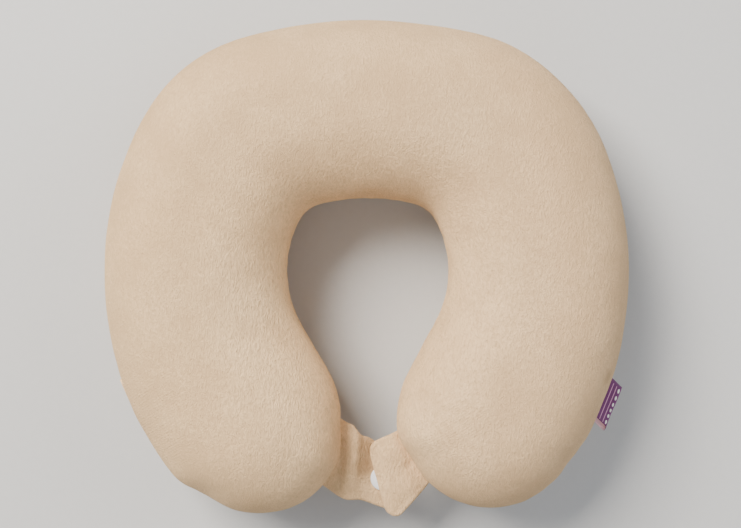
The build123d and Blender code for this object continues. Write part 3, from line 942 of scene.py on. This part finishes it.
class NECKPILLOW_OT_stage(bpy.types.Operator):
    """Make the floor, the lights and the camera"""

    bl_idname = "neck_pillow.stage"
    bl_label = "Stage"

    def execute(self, context):
        settings = context.scene.neck_pillow
        bm = bmesh.new()
        bmesh.ops.create_grid(bm, x_segments=8, y_segments=8, size=3.0)
        floor = new_object("floor", mesh_from(bm, "floor"))
        material, tree, shader, add = node_tree("pale_floor")
        speckle = noise_value(add, mapped(add, (1, 1, 1)), 240, 3)
        tone = mixed(add, speckle, (0.50, 0.51, 0.52, 1), (0.53, 0.54, 0.55, 1))
        tree.links.new(tone, shader.inputs["Base Color"])
        shader.inputs["Roughness"].default_value = 0.9
        paint(floor, material)
        for name, place, size, power, tone in LIGHTS:
            soft_light(name, place, LIGHT_TARGET, size, power, tone)
        world = bpy.data.worlds.new("sky")
        world.use_nodes = True
        background = world.node_tree.nodes["Background"]
        background.inputs["Color"].default_value = (0.88, 0.93, 1.0, 1)
        background.inputs["Strength"].default_value = 0.32
        context.scene.world = world
        camera = bpy.data.cameras.new("camera")
        camera.sensor_width = 36
        camera.lens = settings.lens
        eye = bpy.data.objects.new("camera", camera)
        aim = Vector(settings.aim)
        rise = settings.elevation
        eye.location = aim + Vector((0, -cos(rise), sin(rise))) * settings.distance
        eye.rotation_euler = (pi / 2 - rise, 0, 0)
        camera.clip_start = 0.01
        context.scene.collection.objects.link(eye)
        context.scene.camera = eye
        return {"FINISHED"}


# ---- Settings, panel and registration ----
TONES = ("warm", "pink", "light", "deep", "stain_and_shade")


def length(name, description, default):
    """Setting that is a length."""
    return FloatProperty(name=name, description=description, default=default, unit="LENGTH")


def colour(name, description, default):
    """Setting that is a tone of the pile."""
    return FloatVectorProperty(
        name=name, description=description, default=default, subtype="COLOR"
    )


class NeckPillowSettings(bpy.types.PropertyGroup):
    """Sizes and colours of the pillow's looks"""

    voxel: length("Voxel", "Size of the even mesh", 0.004)
    seam_depth: length("Seam depth", "How far the seam draws in", 0.0014)
    zip_gap: length("Zip gap", "Width of the opening over the zip", 0.0070)
    zip_puff: length("Zip puff", "How far the cover stands out over the zip", 0.0010)
    tab_thickness: length("Tab thickness", "Thickness of a tab", 0.0044)
    label_length: length("Label length", "Length along the seam", 0.0274)
    label_reach: length("Label reach", "How far the label stands out", 0.0062)
    nap: FloatProperty(name="Nap", description="Depth of the pile", default=0.8, subtype="FACTOR")
    warm: colour("Warm cream", "Tone of the left arm", (0.88, 0.61, 0.335))
    pink: colour("Pink cream", "Tone of the right arm", (0.85, 0.585, 0.340))
    light: colour("Light cream", "Tone of the pile's tips", (0.92, 0.70, 0.430))
    # Deep cream is the painted shade between the velour's tufts, and the darker tone of the zip and seam thread.
    deep: colour("Deep cream", "Tone between the tufts", (0.44, 0.28, 0.15))
    # The stain tone serves real stains on the cover and the painted shade in the left tab's fold valley.
    stain_and_shade: colour("Stain", "Tone of the soiled spots", (0.30, 0.17, 0.08))
    lens: FloatProperty(name="Lens", description="Focal length in millimetres", default=55)
    distance: length("Distance", "Camera distance", 0.657)
    elevation: FloatProperty(
        name="Elevation",
        description="Camera above the horizon",
        default=radians(90),
        subtype="ANGLE",
    )
    aim: FloatVectorProperty(
        name="Aim",
        description="Point that the camera looks at",
        default=(0.0017, 0.0016, 0.0445),
    )

    def tones(self):
        """Colours of the pile, with alpha."""
        return {name: (*getattr(self, name), 1.0) for name in TONES}


class NECKPILLOW_PT_panel(bpy.types.Panel):
    """Panel with the pillow's settings and operators"""

    bl_label = "Neck Pillow"
    bl_idname = "NECKPILLOW_PT_panel"
    bl_space_type = "VIEW_3D"
    bl_region_type = "UI"
    bl_category = "Neck Pillow"

    def draw(self, context):
        settings = context.scene.neck_pillow
        for name in NeckPillowSettings.__annotations__:
            self.layout.prop(settings, name)
        for operator in OPERATORS:
            self.layout.operator(operator.bl_idname)


OPERATORS = (
    NECKPILLOW_OT_cover,
    NECKPILLOW_OT_tabs,
    NECKPILLOW_OT_snap,
    NECKPILLOW_OT_label,
    NECKPILLOW_OT_inside,
    NECKPILLOW_OT_stage,
)
CLASSES = (NeckPillowSettings, *OPERATORS, NECKPILLOW_PT_panel)


def register():
    for each in CLASSES:
        bpy.utils.register_class(each)
    bpy.types.Scene.neck_pillow = PointerProperty(type=NeckPillowSettings)


def unregister():
    del bpy.types.Scene.neck_pillow
    for each in reversed(CLASSES):
        bpy.utils.unregister_class(each)


def main():
    register()
    bpy.ops.neck_pillow.cover()
    bpy.ops.neck_pillow.tabs()
    bpy.ops.neck_pillow.snap()
    bpy.ops.neck_pillow.label()
    bpy.ops.neck_pillow.inside()
    bpy.ops.neck_pillow.stage()
    bpy.context.view_layer.update()


if __name__ == "__main__":
    main()
